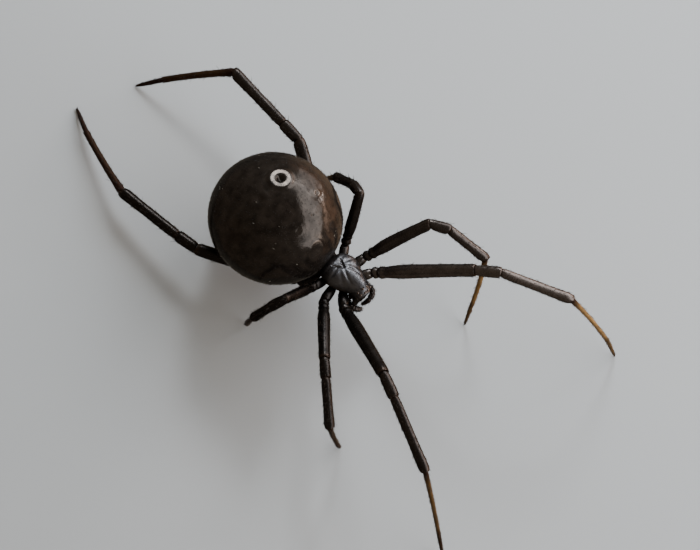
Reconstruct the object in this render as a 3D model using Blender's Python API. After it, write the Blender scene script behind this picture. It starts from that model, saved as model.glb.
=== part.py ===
"""Black widow spider, a still life-size model: body, head appendages and eight posed legs."""
import math

import bmesh
import bpy
from mathutils import Matrix, Vector

# All lengths below are in millimetres; MM turns them into metres.
MM = 0.001
GAP = 0.10
SIDES = 12

# Model frame: the spider faces -Y, its left is +X, the floor is z = 0.
# The cephalothorax has its own frame, turned, leaning to its left and shifted a little in the pose.
BODY_YAW = 5.0
BODY_ROLL = 8.0
BODY_PIVOT = 3.3
BODY_PLACE = (0.22, -0.86)
ROOT_HEIGHT = 3.2
RIM_HEIGHT = 3.82
CARAPACE_RISE = 0.78
STERNUM_BOTTOM = 2.62

# Half width of the carapace, as (y, half width), from the blunt head to the rounded rear.
CARAPACE_OUTLINE = (
    (-1.72, 0.40),
    (-1.62, 0.56),
    (-1.25, 0.70),
    (-0.79, 0.85),
    (-0.30, 1.08),
    (0.05, 1.26),
    (0.40, 1.33),
    (0.75, 1.26),
    (1.05, 1.16),
    (1.30, 0.96),
    (1.45, 0.68),
    (1.52, 0.34),
)
# Height of the carapace's ridge above its rim, as (y, share of the full rise).
CARAPACE_RIDGE = (
    (-1.72, 0.38),
    (-1.60, 0.62),
    (-1.36, 0.80),
    (-0.80, 0.97),
    (-0.20, 1.00),
    (0.35, 0.93),
    (0.60, 0.80),
    (0.85, 0.84),
    (1.10, 0.79),
    (1.28, 0.60),
    (1.42, 0.33),
    (1.52, 0.07),
)
# Half width of the sternum, as (y, half width).
STERNUM_OUTLINE = (
    (-1.72, 0.10),
    (-0.95, 0.14),
    (-0.70, 0.20),
    (-0.52, 0.33),
    (-0.34, 0.46),
    (-0.15, 0.57),
    (0.05, 0.64),
    (0.50, 0.70),
    (0.90, 0.66),
    (1.20, 0.48),
    (1.45, 0.34),
    (1.52, 0.22),
)
# Eyes, as (x, y) on the carapace: middle front, middle rear, side front, side rear.
EYES = ((0.14, -1.65), (0.16, -1.43), (0.42, -1.58), (0.48, -1.38))
EYE_RADIUS = 0.10

ABDOMEN_CENTRE = Vector((-0.21, 4.54, 5.25))
ABDOMEN_SEMI = Vector((4.08, 4.20, 3.80))
ABDOMEN_LEAN = 0.35

# Spinnerets of one side, as (distance from the middle, height on the collar, radius, length).
SPINNERETS = ((0.24, -0.22, 0.20, 0.52), (0.22, 0.22, 0.17, 0.46), (0.10, 0.0, 0.12, 0.34))

# Leg pairs: where each coxa leaves the body (x, y in the body's frame), and how far the
# left one sits behind and the right one ahead of that, as the body twists in the pose.
COXA_ROOT = {
    "1": (0.62, -0.42, 0.10),
    "2": (0.88, 0.20, 0.10),
    "3": (0.90, 0.87, 0.09),
    "4": (0.62, 1.415, 0.035),
}
# Lengths of coxa, trochanter with femur, patella, tibia, metatarsus and tarsus.
LENGTHS = {
    "1": (1.20, 7.20, 1.60, 4.85, 5.80, 2.10),
    "2": (1.20, 5.00, 1.25, 3.10, 4.00, 1.60),
    "3": (1.20, 3.75, 1.00, 2.20, 2.70, 1.30),
    "4": (1.20, 7.00, 1.50, 4.65, 5.00, 1.90),
}
# Thickest radius of each segment.
RADII = {
    "1": (0.36, 0.465, 0.390, 0.355, 0.25, 0.25),
    "2": (0.35, 0.420, 0.370, 0.350, 0.25, 0.25),
    "3": (0.33, 0.375, 0.360, 0.340, 0.25, 0.25),
    "4": (0.34, 0.420, 0.400, 0.380, 0.26, 0.25),
}
SEGMENTS = ("coxa", "femur", "patella", "tibia", "metatarsus", "tarsus")

# Pose in degrees: coxa yaw and pitch, then the leg's yaw, pitch, lean, and the
# bends at the knee (two), at the metatarsus and at the tarsus. Yaw turns from
# straight ahead towards the leg's own side. Lean tips the plane the leg bends in.
POSE = {
    "left_1": (53, 14, 27, 35, -1, 14, 37, 40, 10),
    "left_2": (76, 14, 55, 42, -37, 53, 27, 58, 3),
    "left_3": (118, -2, 116, 53, 31, 90, 20, 20, 8),
    "left_4": (145, -35, 146, 14, 54, 29, 1, 49, 5),
    "right_1": (52, 17, 33, 33, -8, 33, 6, 57, 4),
    "right_2": (82, 12, 54, 24, -16, 23, 4, 91, 10),
    "right_3": (99, 32, 99, 41, 17, 66, 50, 20, 15),
    "right_4": (112, -29, 158, -3, 78, 21, 4, 21, 9),
}
FOOT_RADIUS = 0.15
FOOT_FLAT = 0.035
FEMUR_BOW = {"1": 0.07, "2": 0.08, "3": 0.05, "4": 0.08}

# Course and radii of the palps, each curled round in front of the head.
PALP_PATH = {
    "left": (
        (0.52, -1.02, 2.95),
        (0.76, -1.20, 3.26),
        (0.82, -1.52, 3.42),
        (0.64, -1.84, 3.40),
        (0.26, -1.95, 3.14),
        (-0.06, -1.82, 2.78),
    ),
    "right": (
        (-0.55, -1.04, 2.90),
        (-0.76, -1.28, 2.98),
        (-0.90, -1.52, 3.08),
        (-0.84, -1.74, 3.08),
        (-0.62, -1.92, 2.94),
        (-0.34, -1.96, 2.68),
    ),
}
PALP_RADII = (0.145, 0.145, 0.175, 0.185, 0.175, 0.115)

# Radius along each segment, as (share of length, share of thickest radius).
PROFILE = {
    "coxa": ((0, 0.74), (0.16, 0.88), (0.50, 1.0), (0.84, 0.97), (1, 0.80)),
    "femur": (
        (0, 0.74),
        (0.015, 0.84),
        (0.05, 0.84),
        (0.062, 0.74),
        (0.10, 0.88),
        (0.20, 1.0),
        (0.35, 1.0),
        (0.62, 0.95),
        (0.86, 0.91),
        (0.95, 0.92),
        (1, 0.80),
    ),
    "patella": ((0, 0.80), (0.16, 0.92), (0.50, 0.98), (0.88, 1.0), (1, 0.84)),
    "tibia": ((0, 0.76), (0.07, 0.90), (0.30, 0.97), (0.65, 0.90), (0.92, 1.0), (1, 0.80)),
    "metatarsus": ((0, 0.86), (0.06, 1.0), (0.50, 1.0), (0.94, 1.0), (1, 0.88)),
    "tarsus": ((0, 0.90), (0.10, 1.0), (0.55, 0.94), (1, 0.62)),
}
# The hind legs' femora are slimmer under the abdomen.
HIND_FEMUR = (
    (0, 0.70),
    (0.015, 0.80),
    (0.05, 0.80),
    (0.062, 0.70),
    (0.20, 0.82),
    (0.50, 0.90),
    (0.75, 1.0),
    (0.95, 1.0),
    (1, 0.86),
)

COLOURS = {
    "abdomen": ((0.012, 0.010, 0.009), 0.18),
    "body": ((0.016, 0.013, 0.012), 0.22),
    "leg": ((0.022, 0.015, 0.012), 0.28),
    "shin": ((0.090, 0.030, 0.014), 0.32),
    "fang": ((0.030, 0.012, 0.008), 0.25),
}


def clear_scene():
    for old in list(bpy.data.objects):
        bpy.data.objects.remove(old, do_unlink=True)


def body_point(x, y, z):
    """A point given in the cephalothorax's own frame, in the model's frame."""
    turn, roll = math.radians(BODY_YAW), math.radians(BODY_ROLL)
    over = z - BODY_PIVOT
    across = math.cos(roll) * x + math.sin(roll) * over
    return Vector(
        (
            BODY_PLACE[0] + math.cos(turn) * across + math.sin(turn) * y,
            BODY_PLACE[1] - math.sin(turn) * across + math.cos(turn) * y,
            BODY_PIVOT + math.cos(roll) * over - math.sin(roll) * x,
        )
    )


def direction(side, yaw, pitch):
    """Unit vector for a yaw from straight ahead towards the given side and a pitch above the floor."""
    yaw, pitch = math.radians(yaw), math.radians(pitch)
    flat = math.cos(pitch)
    return Vector((side * math.sin(yaw) * flat, -math.cos(yaw) * flat, math.sin(pitch)))


def leg_joints(leg, femur_pitch):
    """The seven joints of one leg, from the coxa's root to the tip of the tarsus."""
    side = 1.0 if leg.startswith("left") else -1.0
    pair = leg[-1]
    coxa_yaw, coxa_pitch, yaw, _, lean, *bends = POSE[leg]
    x, y, twist = COXA_ROOT[pair]
    point = body_point(side * x, y + side * twist, ROOT_HEIGHT)
    joints = [point]
    lengths = LENGTHS[pair]
    point = point + lengths[0] * direction(side, coxa_yaw, coxa_pitch)
    joints.append(point)
    along = direction(side, yaw, femur_pitch)
    down = direction(side, yaw, femur_pitch - 90)
    across = along.cross(down) * side
    lean = math.radians(lean)
    inward = math.cos(lean) * down + math.sin(lean) * across
    turned = 0.0
    for length, bend in zip(lengths[1:], (0.0, *bends)):
        turned += math.radians(bend)
        point = point + length * (math.cos(turned) * along + math.sin(turned) * inward)
        joints.append(point)
    return joints


def settled_leg(leg):
    """Turns the femur by up to 8 degrees so that the leg's tip stands on the floor."""
    pitch = POSE[leg][3]
    low, high = pitch - 8.0, pitch + 8.0
    for _ in range(50):
        middle = 0.5 * (low + high)
        if leg_joints(leg, middle)[-1].z > FOOT_RADIUS:
            high = middle
        else:
            low = middle
    return leg_joints(leg, middle)


def between(table, at):
    """Value at a place, on a smooth curve through the rows of a table."""
    last = len(table) - 1
    k = 0
    while k < last - 1 and at > table[k + 1][0]:
        k += 1

    def slope(row):
        low, high = table[max(0, row - 1)], table[min(last, row + 1)]
        return (high[1] - low[1]) / (high[0] - low[0])

    (here, first), (there, second) = table[k], table[k + 1]
    step = there - here
    t = max(0.0, min(1.0, (at - here) / step))
    value = first * (1 + 2 * t) * (1 - t) ** 2 + second * t**2 * (3 - 2 * t)
    return value + step * (slope(k) * t * (1 - t) ** 2 - slope(k + 1) * t**2 * (1 - t))


def make_object(name, vertices, faces, look, smooth=True):
    mesh = bpy.data.meshes.new(name)
    mesh.from_pydata([tuple(v) for v in vertices], [], faces)
    bm = bmesh.new()
    bm.from_mesh(mesh)
    bmesh.ops.recalc_face_normals(bm, faces=bm.faces)
    if bm.calc_volume(signed=True) < 0:
        bmesh.ops.reverse_faces(bm, faces=bm.faces)
    bm.to_mesh(mesh)
    bm.free()
    if smooth:
        mesh.shade_smooth()
        mesh.set_sharp_from_angle(angle=math.radians(50))
    part = bpy.data.objects.new(name, mesh)
    bpy.context.scene.collection.objects.link(part)
    colour, roughness = COLOURS[look]
    material = bpy.data.materials.new(name)
    material.use_nodes = True
    shader = material.node_tree.nodes["Principled BSDF"]
    shader.inputs["Base Color"].default_value = (*colour, 1.0)
    shader.inputs["Roughness"].default_value = roughness
    shader.inputs["Metallic"].default_value = 0.0
    mesh.materials.append(material)
    return part


def ring_faces(rings, sides):
    faces = []
    for k in range(rings - 1):
        for i in range(sides):
            j = (i + 1) % sides
            a, b = k * sides, (k + 1) * sides
            faces.append((a + i, a + j, b + j, b + i))
    return faces


def tube(start, end, start_normal, end_normal, radius, profile, bow=None, start_gap=GAP / 2, end_gap=GAP / 2):
    """Rings of a round segment whose two ends are cut by the given planes, half a gap short of them.

    Returns the vertices and faces, with flat ends.
    """
    axis = (end - start).normalized()
    e1 = axis.orthogonal().normalized()
    e2 = axis.cross(e1)
    length = (end - start).length
    vertices = []
    for share, width in profile:
        for i in range(SIDES):
            angle = 2 * math.pi * i / SIDES
            out = (math.cos(angle) * e1 + math.sin(angle) * e2) * radius * width
            first = (start_gap - out.dot(start_normal)) / axis.dot(start_normal)
            last = length - (end_gap + out.dot(end_normal)) / axis.dot(end_normal)
            along = first + share * (last - first)
            place = start + out + axis * along
            if bow is not None:
                place = place + bow * (4 * share * (1 - share))
            vertices.append(place)
    faces = ring_faces(len(profile), SIDES)
    last = (len(profile) - 1) * SIDES
    faces.append(tuple(range(SIDES)))
    faces.append(tuple(last + i for i in range(SIDES)))
    return vertices, faces


def joint_normal(before, after):
    return (before.normalized() + after.normalized()).normalized()


def tarsus(start, end, start_normal, radius):
    """The last segment: it narrows to a rounded tip with a small flat on the floor."""
    profile = [(s, w) for s, w in PROFILE["tarsus"]]
    axis = (end - start).normalized()
    vertices, faces = tube(start, end, start_normal, axis, radius, profile, end_gap=0.0)
    faces.pop()
    tip_radius = FOOT_RADIUS
    e1 = axis.orthogonal().normalized()
    e2 = axis.cross(e1)
    rings = len(profile)
    for turn in (30, 60):
        lift = math.radians(turn)
        for i in range(SIDES):
            angle = 2 * math.pi * i / SIDES
            out = math.cos(angle) * e1 + math.sin(angle) * e2
            place = end + tip_radius * (math.cos(lift) * out + math.sin(lift) * axis)
            vertices.append(place)
        rings += 1
    vertices.append(end + tip_radius * axis)
    faces = ring_faces(rings, SIDES) + [tuple(range(SIDES))]
    last = (rings - 1) * SIDES
    for i in range(SIDES):
        faces.append((last + i, last + (i + 1) % SIDES, len(vertices) - 1))
    for v in vertices:
        if v.z < FOOT_FLAT:
            v.z = 0.0
    return vertices, faces


def make_leg(leg, joints):
    pair = leg[-1]
    steps = [b - a for a, b in zip(joints, joints[1:])]
    for k, segment in enumerate(SEGMENTS):
        start, end = joints[k], joints[k + 1]
        radius = RADII[pair][k]
        start_normal = joint_normal(steps[k - 1], steps[k]) if k else steps[0].normalized()
        name = f"{segment}_{leg}"
        if segment == "tarsus":
            vertices, faces = tarsus(start, end, start_normal, radius)
        else:
            end_normal = joint_normal(steps[k], steps[k + 1])
            bow = None
            if segment == "femur":
                bend = steps[k].cross(steps[k + 1])
                outer = bend.cross(steps[k]).normalized() * -1.0
                bow = outer * FEMUR_BOW[pair]
            start_gap = 0.0 if k == 0 else GAP / 2
            profile = HIND_FEMUR if segment == "femur" and pair == "4" else PROFILE[segment]
            vertices, faces = tube(start, end, start_normal, end_normal, radius, profile, bow, start_gap)
        make_object(name, vertices, faces, "shin" if segment == "metatarsus" else "leg")


def rim_height(y):
    """The rim drops towards the rear."""
    t = max(0.0, min(1.0, (y - 0.5) / 1.0))
    return RIM_HEIGHT - 0.22 * t * t


def carapace_height(x, y):
    wide = between(CARAPACE_OUTLINE, y)
    top = CARAPACE_RISE * between(CARAPACE_RIDGE, y)
    across = min(1.0, abs(x) / wide)
    return rim_height(y) + top * (1 - across**2) ** 0.70


def cephalothorax():
    stations = 24
    dome = 14
    front, rear = CARAPACE_OUTLINE[0][0], CARAPACE_OUTLINE[-1][0]
    vertices = []
    for k in range(stations):
        t = k / (stations - 1)
        share = 0.5 - 0.5 * math.cos(math.pi * t)
        y = front + (rear - front) * share
        wide, rim = between(CARAPACE_OUTLINE, y), rim_height(y)
        inner = min(between(STERNUM_OUTLINE, y), 0.86 * wide)
        ahead = max(0.0, min(1.0, (y + 1.25) / 0.55))
        behind = max(0.0, min(1.0, (y - 0.75) / 0.75))
        bottom = 3.32 - (3.32 - STERNUM_BOTTOM) * ahead
        bottom += (rim - 0.30 - bottom) * behind**1.5
        row = []
        for i in range(dome + 1):
            x = wide * math.cos(math.pi * i / dome)
            row.append((x, carapace_height(x, y)))
        under = (
            (0.45 * wide + 0.55 * inner, rim - 0.10),
            (inner, rim - 0.18),
            (inner * 0.94, 0.5 * (rim - 0.18 + bottom)),
            (inner * 0.62, bottom + 0.04),
        )
        row += [(-x, z) for x, z in under]
        row.append((0.0, bottom))
        row += [(x, z) for x, z in reversed(under)]
        ring = len(row)
        vertices += [body_point(x, y, z) for x, z in row]
    faces = ring_faces(stations, ring)
    faces.append(tuple(range(ring)))
    last = (stations - 1) * ring
    faces.append(tuple(last + i for i in range(ring)))
    body = make_object("cephalothorax", vertices, faces, "body")
    eyes = []
    for side in (-1, 1):
        for x, y in EYES:
            eyes.append(ball("eye", body_point(side * x, y, carapace_height(x, y) - 0.01), EYE_RADIUS, 8, 6))
    return fused(body, eyes)


def ball(name, centre, radius, around, rings):
    mesh = bpy.data.meshes.new(name)
    bm = bmesh.new()
    bmesh.ops.create_uvsphere(
        bm, u_segments=around, v_segments=rings, radius=radius, matrix=Matrix.Translation(centre)
    )
    bm.to_mesh(mesh)
    bm.free()
    piece = bpy.data.objects.new(name, mesh)
    bpy.context.scene.collection.objects.link(piece)
    return piece


def largest_surface(mesh):
    """Keeps only the largest closed surface of a mesh."""
    bm = bmesh.new()
    bm.from_mesh(mesh)
    left = set(bm.faces)
    surfaces = []
    while left:
        found = [left.pop()]
        for face in found:
            for edge in face.edges:
                for other in edge.link_faces:
                    if other in left:
                        left.remove(other)
                        found.append(other)
        surfaces.append(found)
    surfaces.sort(key=lambda faces: sum(face.calc_area() for face in faces))
    for faces in surfaces[:-1]:
        bmesh.ops.delete(bm, geom=faces, context="FACES")
    bm.to_mesh(mesh)
    bm.free()


def fused(part, pieces=(), cutters=()):
    """Joins the pieces to a part and cuts the cutters away, then removes them and keeps one closed body."""
    group = bpy.data.collections.new("pieces")
    for piece in pieces:
        group.objects.link(piece)
    if pieces:
        join = part.modifiers.new("join", "BOOLEAN")
        join.operation = "UNION"
        join.operand_type = "COLLECTION"
        join.collection = group
        join.solver = "EXACT"
    for cutter in cutters:
        trim = part.modifiers.new("trim", "BOOLEAN")
        trim.operation = "DIFFERENCE"
        trim.object = cutter
        trim.solver = "EXACT"
    bpy.context.view_layer.update()
    view = bpy.context.evaluated_depsgraph_get()
    mesh = bpy.data.meshes.new_from_object(part.evaluated_get(view))
    part.modifiers.clear()
    part.data = mesh
    largest_surface(mesh)
    for piece in pieces:
        bpy.data.objects.remove(piece, do_unlink=True)
    bpy.data.collections.remove(group)
    return part


def abdomen_point(angle, rise, grow=0.0):
    """A point of the abdomen: angle around the upright axis, rise from -90 at the belly to 90 on top."""
    flat = math.cos(rise)
    x = (ABDOMEN_SEMI.x + grow) * flat * math.cos(angle)
    y = (ABDOMEN_SEMI.y + grow) * flat * math.sin(angle)
    z = (ABDOMEN_SEMI.z + grow) * math.sin(rise)
    if z < 0:
        y += ABDOMEN_LEAN * (-z / ABDOMEN_SEMI.z)
    return ABDOMEN_CENTRE + Vector((x, y, z))


def pressed(place, start, end, radius):
    """Moves a point that lies inside a rod's clearance towards the abdomen's middle, out of it."""
    axis = (end - start).normalized()
    offset = place - start
    offset = offset - axis * offset.dot(axis)
    if offset.length >= radius:
        return place
    inward = (ABDOMEN_CENTRE - place).normalized()
    step = inward - axis * inward.dot(axis)
    square = step.length_squared
    half = offset.dot(step)
    reach = (-half + math.sqrt(half**2 - square * (offset.length_squared - radius**2))) / square
    return place + inward * reach


def abdomen(rods, grow=0.0, name="abdomen", around=48, rings=32):
    vertices = []
    for k in range(1, rings):
        rise = math.pi * (k / rings - 0.5)
        for i in range(around):
            vertices.append(abdomen_point(2 * math.pi * i / around, rise, grow))
    vertices.append(abdomen_point(0, -math.pi / 2, grow))
    vertices.append(abdomen_point(0, math.pi / 2, grow))
    if not grow:
        for start, end, radius in rods:
            vertices = [pressed(v, start, end, radius) for v in vertices]
    faces = ring_faces(rings - 1, around)
    last = (rings - 2) * around
    for i in range(around):
        j = (i + 1) % around
        faces.append((i, j, len(vertices) - 2))
        faces.append((last + i, last + j, len(vertices) - 1))
    return make_object(name, vertices, faces, "abdomen")


def rod(name, points, radii, look, sides=SIDES):
    """A round bent rod through the points, closed by rounded ends."""
    vertices = []
    rings = 0
    for k, (point, radius) in enumerate(zip(points, radii)):
        before = points[k] - points[k - 1] if k else points[1] - points[0]
        after = points[k + 1] - points[k] if k + 1 < len(points) else before
        normal = joint_normal(before, after)
        e1 = normal.cross(Vector((0.31, 0.87, 0.39))).normalized()
        e2 = normal.cross(e1)
        for i in range(sides):
            angle = 2 * math.pi * i / sides
            vertices.append(point + radius * (math.cos(angle) * e1 + math.sin(angle) * e2))
        rings += 1
    first_axis = (points[1] - points[0]).normalized()
    last_axis = (points[-1] - points[-2]).normalized()
    vertices.append(points[0] - first_axis * radii[0] * 0.5)
    vertices.append(points[-1] + last_axis * radii[-1] * 0.8)
    faces = ring_faces(rings, sides)
    last = (rings - 1) * sides
    for i in range(sides):
        j = (i + 1) % sides
        faces.append((i, j, len(vertices) - 2))
        faces.append((last + i, last + j, len(vertices) - 1))
    return make_object(name, vertices, faces, look)


def head_appendages(side, word):
    """The chelicera with its fang, and the palp curled round in front of it."""
    path = ((0.22, -1.28, 3.16), (0.22, -1.36, 2.92), (0.22, -1.41, 2.62), (0.23, -1.38, 2.32))
    points = [body_point(side * x, y, z) for x, y, z in path]
    chelicera = rod(f"chelicera_{word}", points, (0.17, 0.195, 0.195, 0.13), "body")
    path = ((0.25, -1.35, 2.22), (0.20, -1.32, 2.04), (0.11, -1.24, 1.94))
    points = [body_point(side * x, y, z) for x, y, z in path]
    fused(chelicera, [rod("fang", points, (0.09, 0.07, 0.03), "fang", 8)])
    points = [body_point(*place) for place in PALP_PATH[word]]
    rod(f"palp_{word}", points, PALP_RADII, "leg", 10)


def pedicel(front, back):
    """The waist, cut to the shapes of the two bodies it joins."""
    path = ((0.0, 1.25, 3.22), (-0.02, 1.55, 3.22), (-0.06, 2.40, 3.26))
    stalk = rod("pedicel", [body_point(*p) for p in path], (0.20, 0.20, 0.24), "body")
    fused(stalk, cutters=(front, back))


def spinnerets(back):
    """Six cones and their collar, joined, standing on the rear of the belly."""
    seat = abdomen_point(math.pi / 2, math.radians(-44))
    out = Vector((0.0, 0.55, -0.83)).normalized()
    collar = rod("spinnerets", [seat - out * 0.35, seat + out * 0.18], (0.62, 0.52), "body", 16)
    cones = []
    across = Vector((1.0, 0.0, 0.0))
    up = across.cross(out) * -1.0
    for side in (-1, 1):
        for shift, rise, radius, length in SPINNERETS:
            base = seat + across * side * shift + up * rise
            tip = base + out * (0.15 + length) - across * side * 0.10
            points = [base, base + out * 0.30, tip]
            cones.append(rod("cone", points, (radius, radius, radius * 0.5), "body", 8))
    fused(collar, cones, (back,))


def centre_on_floor():
    """Shifts everything so that the origin is under the middle of the whole model."""
    parts = list(bpy.data.objects)
    xs = [v.co.x for part in parts for v in part.data.vertices]
    ys = [v.co.y for part in parts for v in part.data.vertices]
    shift = Vector((-(min(xs) + max(xs)) / 2, -(min(ys) + max(ys)) / 2, 0.0))
    for part in parts:
        part.data.transform(Matrix.Scale(MM, 4) @ Matrix.Translation(shift))


def main():
    clear_scene()
    legs = {leg: settled_leg(leg) for leg in POSE}
    rods = []
    for leg in ("left_4", "right_4"):
        clearance = 0.88 * RADII["4"][1] + GAP + 0.12
        rods.append((legs[leg][1], legs[leg][2], clearance))
    body = cephalothorax()
    abdomen(rods)
    back = abdomen([], GAP, "back")
    front = body.copy()
    front.data = body.data.copy()
    for v in front.data.vertices:
        v.co.y += GAP
    bpy.context.scene.collection.objects.link(front)
    pedicel(front, back)
    spinnerets(back)
    for cutter in (front, back):
        bpy.data.objects.remove(cutter, do_unlink=True)
    for side, word in ((1, "left"), (-1, "right")):
        head_appendages(side, word)
    for leg, joints in legs.items():
        make_leg(leg, joints)
    centre_on_floor()


main()
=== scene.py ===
"""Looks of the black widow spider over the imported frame, with its light and camera."""
import bisect
from math import acos, copysign, cos, exp, hypot, log, pi, radians, sin, sqrt, tan, tau
from random import random, seed, uniform

import bmesh
import bpy
from mathutils import Matrix, Vector
from mathutils.noise import noise


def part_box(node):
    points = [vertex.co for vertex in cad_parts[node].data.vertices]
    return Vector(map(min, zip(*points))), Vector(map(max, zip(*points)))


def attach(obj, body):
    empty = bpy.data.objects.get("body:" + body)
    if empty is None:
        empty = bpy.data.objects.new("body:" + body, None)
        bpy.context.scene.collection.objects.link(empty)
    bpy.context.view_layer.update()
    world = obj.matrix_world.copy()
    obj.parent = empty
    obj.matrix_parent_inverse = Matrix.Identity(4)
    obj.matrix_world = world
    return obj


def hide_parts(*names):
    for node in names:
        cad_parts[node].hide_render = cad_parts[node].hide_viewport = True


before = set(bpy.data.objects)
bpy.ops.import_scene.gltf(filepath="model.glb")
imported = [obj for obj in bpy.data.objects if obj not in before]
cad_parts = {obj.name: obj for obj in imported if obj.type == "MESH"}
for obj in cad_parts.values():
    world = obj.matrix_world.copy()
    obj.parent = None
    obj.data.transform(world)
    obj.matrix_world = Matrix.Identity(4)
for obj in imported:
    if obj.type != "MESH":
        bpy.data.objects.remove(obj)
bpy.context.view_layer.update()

# Lengths are in millimetres; MM turns them into metres.
MM = 0.001
seed(17)

# The model frame: the spider faces -Y, its left is +X, the floor is z = 0.
BODY_YAW = 5.0
BODY_ROLL = 8.0
BODY_PIVOT = 3.3
BODY_PLACE = (0.22, -0.86)
ROOT_HEIGHT = 3.2
RIM_HEIGHT = 3.82
CARAPACE_RISE = 0.78
STERNUM_BOTTOM = 2.62
# By place along the body: half width, height of the ridge as a share, half width below.
CARAPACE_OUTLINE = (
    (-1.72, 0.4), (-1.62, 0.56), (-1.25, 0.7), (-0.79, 0.85), (-0.3, 1.08), (0.05, 1.26),
    (0.4, 1.33), (0.75, 1.26), (1.05, 1.16), (1.3, 0.96), (1.45, 0.68), (1.52, 0.34),
)
CARAPACE_RIDGE = (
    (-1.72, 0.38), (-1.6, 0.62), (-1.36, 0.8), (-0.8, 0.97), (-0.2, 1.0), (0.35, 0.94),
    (0.6, 0.9), (0.85, 0.86), (1.1, 0.8), (1.28, 0.63), (1.42, 0.36), (1.52, 0.08),
)
STERNUM_OUTLINE = (
    (-1.72, 0.1), (-0.95, 0.14), (-0.7, 0.2), (-0.52, 0.33), (-0.34, 0.46),
    (-0.15, 0.57), (0.05, 0.64), (0.5, 0.7), (0.9, 0.66), (1.2, 0.48), (1.45, 0.34),
    (1.52, 0.22),
)
# Grooves of the carapace's left half: half width, depth and course.
GROOVES = (
    (0.06, 0.11, ((0.36, 0.94), (0.2, 0.66), (0.03, 0.38))),
    (0.09, 0.055, ((0.1, 0.22), (0.26, -0.05), (0.38, -0.35), (0.47, -0.74))),
    (0.12, 0.04, ((0.32, 0.42), (0.58, 0.06), (0.78, -0.34), (0.86, -0.58))),
    (0.11, 0.04, ((0.3, 0.62), (0.66, 0.52), (1.08, 0.46))),
    (0.11, 0.035, ((0.42, 0.94), (0.62, 0.98), (0.9, 1.02))),
)
PALP_PATH = {
    "left": (
        (0.52, -1.02, 2.95), (0.76, -1.2, 3.26), (0.82, -1.52, 3.42),
        (0.64, -1.84, 3.4), (0.26, -1.95, 3.14), (-0.06, -1.82, 2.78),
    ),
    "right": (
        (-0.55, -1.04, 2.9), (-0.76, -1.28, 2.98), (-0.9, -1.52, 3.08),
        (-0.84, -1.74, 3.08), (-0.62, -1.92, 2.94), (-0.34, -1.96, 2.68),
    ),
}
PALP_RADII = (0.145, 0.145, 0.175, 0.185, 0.17, 0.1)
JAW_PATH = ((0.22, -1.26, 3.2), (0.22, -1.36, 2.94), (0.22, -1.41, 2.62), (0.23, -1.38, 2.3))
JAW_RADII = (0.165, 0.195, 0.19, 0.125)
FANG_PATH = ((0.25, -1.36, 2.26), (0.22, -1.34, 2.1), (0.15, -1.29, 1.98), (0.08, -1.23, 1.93))
FANG_RADII = (0.085, 0.07, 0.045, 0.012)
# Lip and mouth lobes: place and half length.
MOUTH_PARTS = ((0.0, -0.98, 2.78, 0.14), (0.24, -1.02, 2.8, 0.24), (-0.24, -1.02, 2.8, 0.24))
# Eyes: x, y, radius.
EYES = ((0.14, -1.65, 0.085), (0.16, -1.43, 0.08), (0.42, -1.58, 0.075), (0.48, -1.38, 0.075))

ABDOMEN_CENTRE = Vector((-0.21, 4.54, 5.25))
ABDOMEN_SEMI = Vector((4.08, 4.2, 3.8))
ABDOMEN_LEAN = 0.35
# Dimples of the abdomen's back: x, y from its middle, radii of the pit and its rim, depth,
# height of the rim.
DIMPLES = (
    (0.8, 0.8, 0.31, 0.64, 0.22, 0.05), (-1.1, 0.9, 0.28, 0.46, 0.07, 0.012),
    (1.72, -1.35, 0.09, 0.26, 0.07, 0.022), (-2.05, -1.2, 0.12, 0.22, 0.04, 0.006),
    (0.4, -2.1, 0.11, 0.17, 0.06, 0.01), (-0.95, -2.05, 0.15, 0.3, 0.02, 0.0),
    (-0.76, -3.5, 0.36, 0.5, 0.03, 0.0), (0.95, 2.45, 0.12, 0.22, 0.05, 0.008),
    (-1.25, 2.5, 0.12, 0.22, 0.05, 0.006),
)

COXA_ROOT = {
    "1": (0.62, -0.42, 0.1), "2": (0.88, 0.2, 0.1),
    "3": (0.9, 0.87, 0.09), "4": (0.62, 1.415, 0.035),
}
LENGTHS = {
    "1": (1.2, 7.2, 1.6, 4.85, 5.8, 2.1),
    "2": (1.2, 5.0, 1.25, 3.1, 4.0, 1.6),
    "3": (1.2, 3.75, 1.0, 2.2, 2.7, 1.3),
    "4": (1.2, 7.0, 1.5, 4.65, 5.0, 1.9),
}
POSE = {
    "left_1": (53, 14, 27, 35, -1, 14, 37, 40, 10),
    "left_2": (76, 14, 55, 42, -37, 53, 27, 58, 3),
    "left_3": (118, -2, 116, 53, 31, 90, 20, 20, 8),
    "left_4": (145, -35, 146, 14, 54, 29, 1, 49, 5),
    "right_1": (52, 17, 33, 33, -8, 33, 6, 57, 4),
    "right_2": (82, 12, 54, 24, -16, 23, 4, 91, 10),
    "right_3": (99, 32, 99, 41, 17, 66, 50, 20, 15),
    "right_4": (112, -29, 158, -3, 78, 21, 4, 21, 9),
}
FOOT_RADIUS = 0.15
# Degrees that a femur may turn to bring its foot to the floor, and halvings of that range.
PITCH_PLAY = 8.0
HALVINGS = 50
FEMUR_BOW = {"1": 0.07, "2": 0.08, "3": 0.05, "4": 0.08}

# True radii of coxa, trochanter, femur, patella, tibia, metatarsus and tarsus.
THICKNESS = {
    "1": (0.35, 0.37, 0.455, 0.38, 0.345, 0.15, 0.125),
    "2": (0.34, 0.34, 0.41, 0.36, 0.34, 0.155, 0.12),
    "3": (0.32, 0.32, 0.365, 0.35, 0.33, 0.165, 0.125),
    "4": (0.33, 0.33, 0.41, 0.39, 0.37, 0.225, 0.145),
}
TROCHANTER = 0.46
SEAM = 0.022
ELBOW = 0.42
# Spacing of a segment's rows, how much they widen in a bend, and their flatness.
EVEN_ROWS = 0.45
TURN_STRETCH = 0.4
FLATNESS = 0.95
ROWS_PER_MM = 9
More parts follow.
